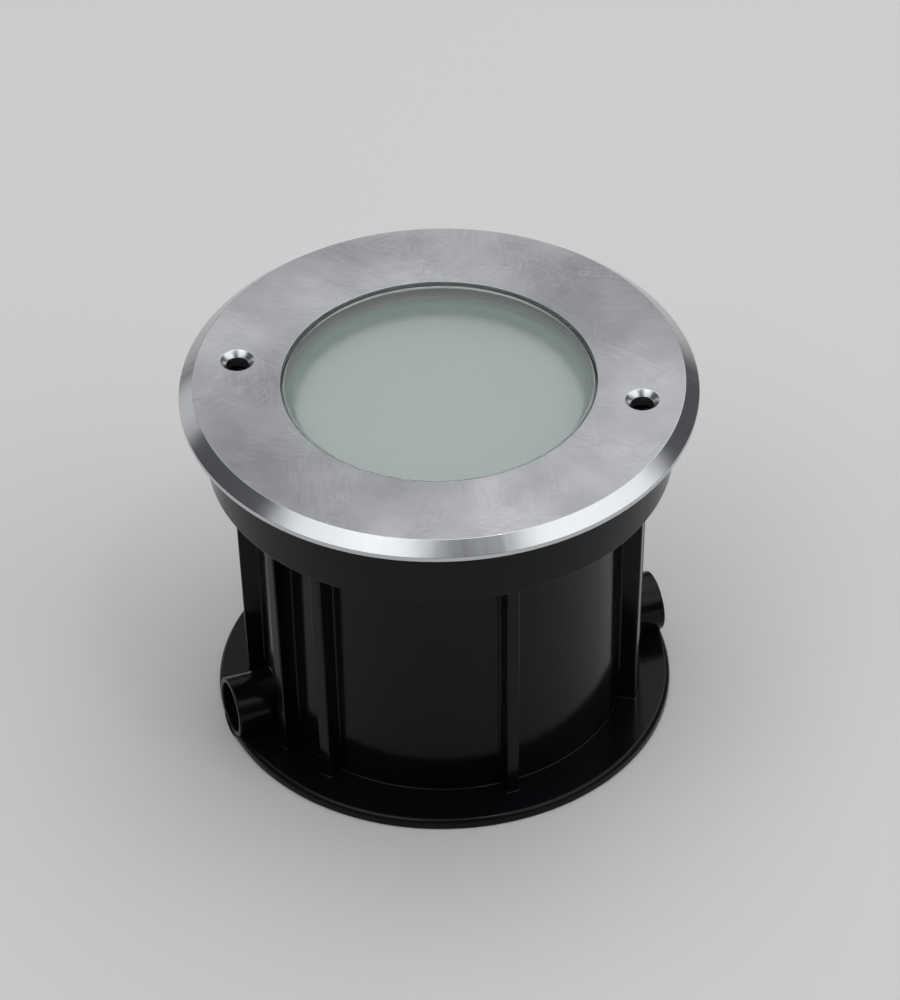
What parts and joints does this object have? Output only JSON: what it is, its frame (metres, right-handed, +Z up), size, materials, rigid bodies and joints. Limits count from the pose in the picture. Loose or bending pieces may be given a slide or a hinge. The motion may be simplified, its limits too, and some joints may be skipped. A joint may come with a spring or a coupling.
{
  "type": "in ground well light",
  "caption": "Round in-ground well light: stainless bezel, frosted glass and a sealed light unit that lifts out of a ribbed plastic mounting sleeve with cable spouts.",
  "frame": {"origin": "centre of the mounting sleeve's base, where the light stands", "axes": "+Z up along the light's axis, +X along the two cable spouts, +Y across them"},
  "size_m": [0.125, 0.125, 0.095],
  "materials": {
    "brushed_stainless": "random orbital brushed",
    "frosted_glass": "acid frosted",
    "black_plastic": "moulded semi-gloss",
    "silicone": "matt",
    "brass": "turned",
    "cast_aluminium": "die cast",
    "screw_steel": "bright",
    "holder_plastic": "matt grey",
    "opal_plastic": "opal",
    "white_plastic": "gloss white",
    "white_board": "white solder mask",
    "led_phosphor": "phosphor under clear resin",
    "driver_plastic": "moulded",
    "lead_plastic": "wire insulation",
    "gland_nylon": "moulded nylon"
  },
  "bodies": {
    "sleeve": {"mounting_sleeve": "black_plastic", "rim_gasket": "silicone", "screw_inserts": "brass"},
    "light_unit": {"bezel_ring": "brushed_stainless", "glass_lens": "frosted_glass", "upper_lens_gasket": "silicone", "lower_lens_gasket": "silicone", "inner_housing": "cast_aluminium", "flange_screws": "screw_steel", "diffuser_holder": "holder_plastic", "diffuser_disc": "opal_plastic", "reflector": "white_plastic", "led_board": "white_board", "led_packages": "led_phosphor", "board_screws": "screw_steel", "carrier_plate": "cast_aluminium", "carrier_screws": "screw_steel", "driver_case": "driver_plastic", "driver_screws": "screw_steel", "driver_leads": "lead_plastic", "gland_body": "gland_nylon", "gland_washer": "silicone", "gland_seal": "silicone", "gland_cap": "gland_nylon", "gland_locknut": "brass"}
  },
  "joints": [
    {"name": "lift_out", "type": "slide", "parent": "sleeve", "child": "light_unit", "axis": [0, 0, 1], "range_m": [0, 0.08]}
  ]
}
